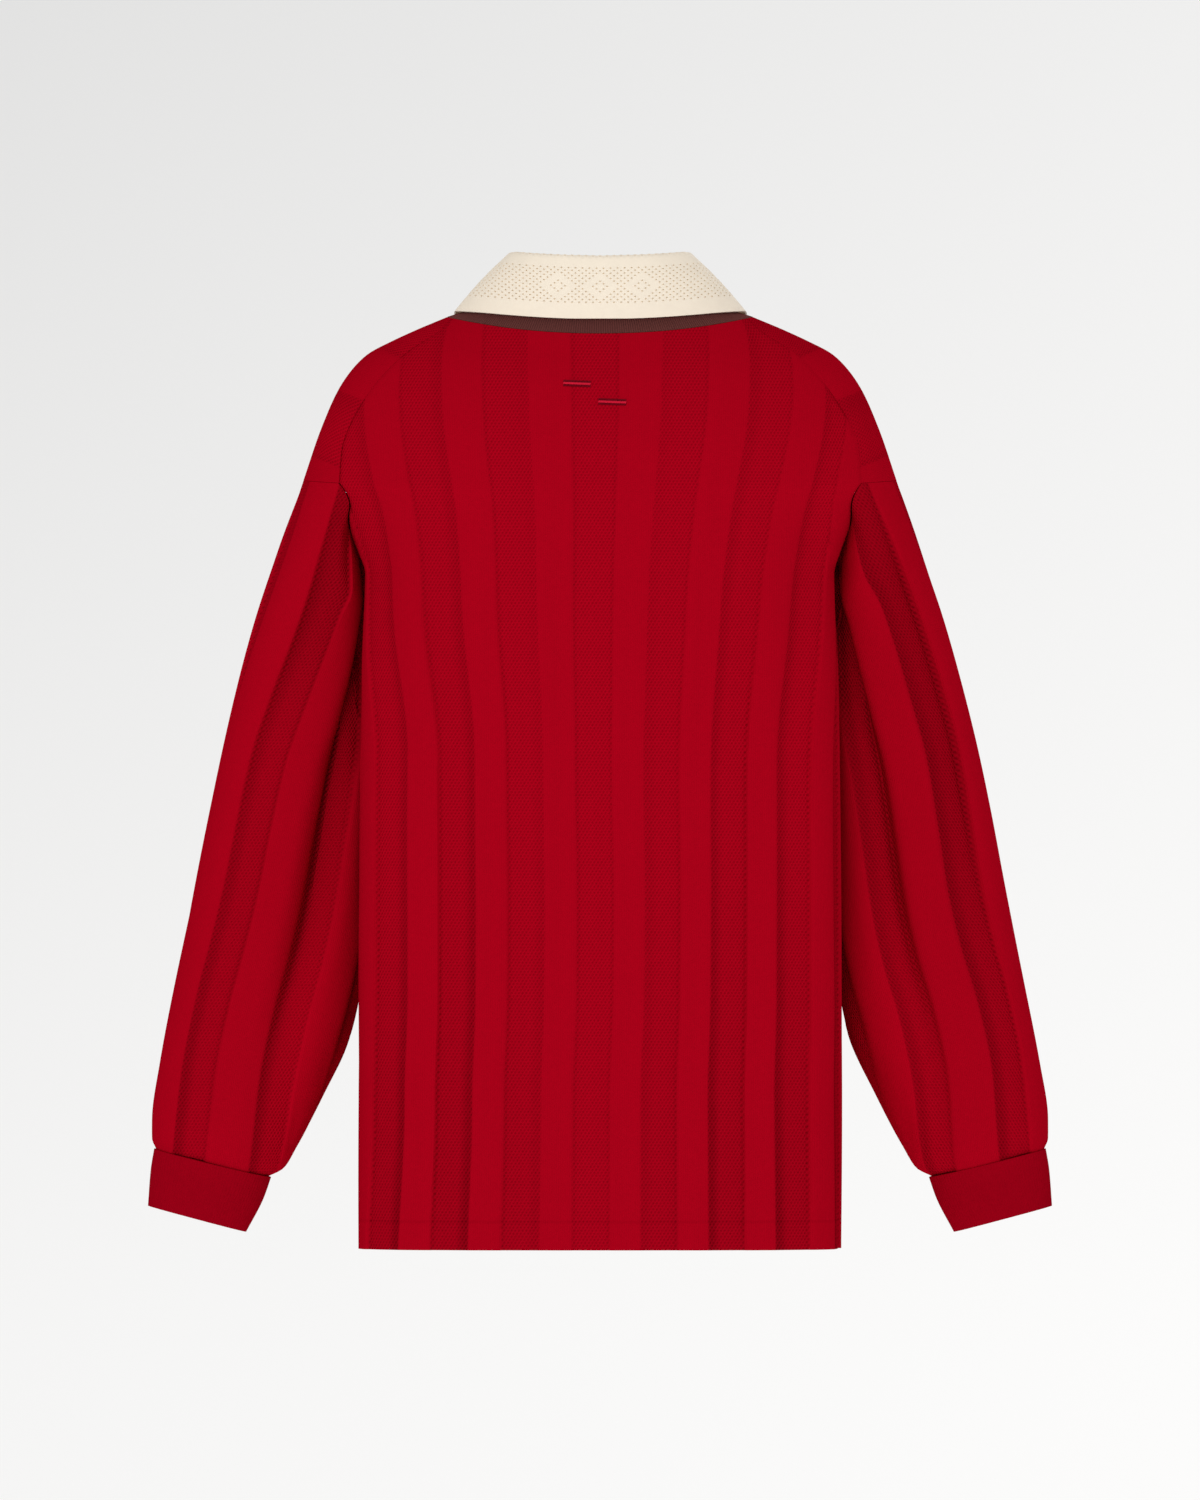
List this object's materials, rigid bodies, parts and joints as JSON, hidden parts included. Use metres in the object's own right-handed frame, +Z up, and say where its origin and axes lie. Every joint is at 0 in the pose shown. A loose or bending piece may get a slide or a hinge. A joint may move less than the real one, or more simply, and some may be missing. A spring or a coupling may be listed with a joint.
{
  "type": "knit football jersey",
  "caption": "Long-sleeved football jersey in red knit with smooth and moss stripes, dropped shoulders, ribbed cuffs, a dark ribbed neckband and a cream openwork collar, hollow as worn.",
  "frame": {"origin": "middle of the neck opening, level with the two points where the shoulders meet the neck", "axes": "+Z up, +X towards the wearer's right side, the back of the garment faces -Y"},
  "size_m": [0.716, 0.23, 0.7898],
  "materials": {
    "knit_red": "matt knit",
    "rib_red": "matt fine rib",
    "band_brown": "matt fine rib",
    "collar_cream": "matt openwork knit",
    "tack_red": "satin thread"
  },
  "bodies": {
    "root": {"back": "knit_red", "front": "knit_red", "sleeve_left": "knit_red", "sleeve_right": "knit_red", "cuff_left": "rib_red", "cuff_right": "rib_red", "neckband": "band_brown", "collar": "collar_cream", "tack_upper": "tack_red", "tack_lower": "tack_red"}
  },
  "joints": []
}
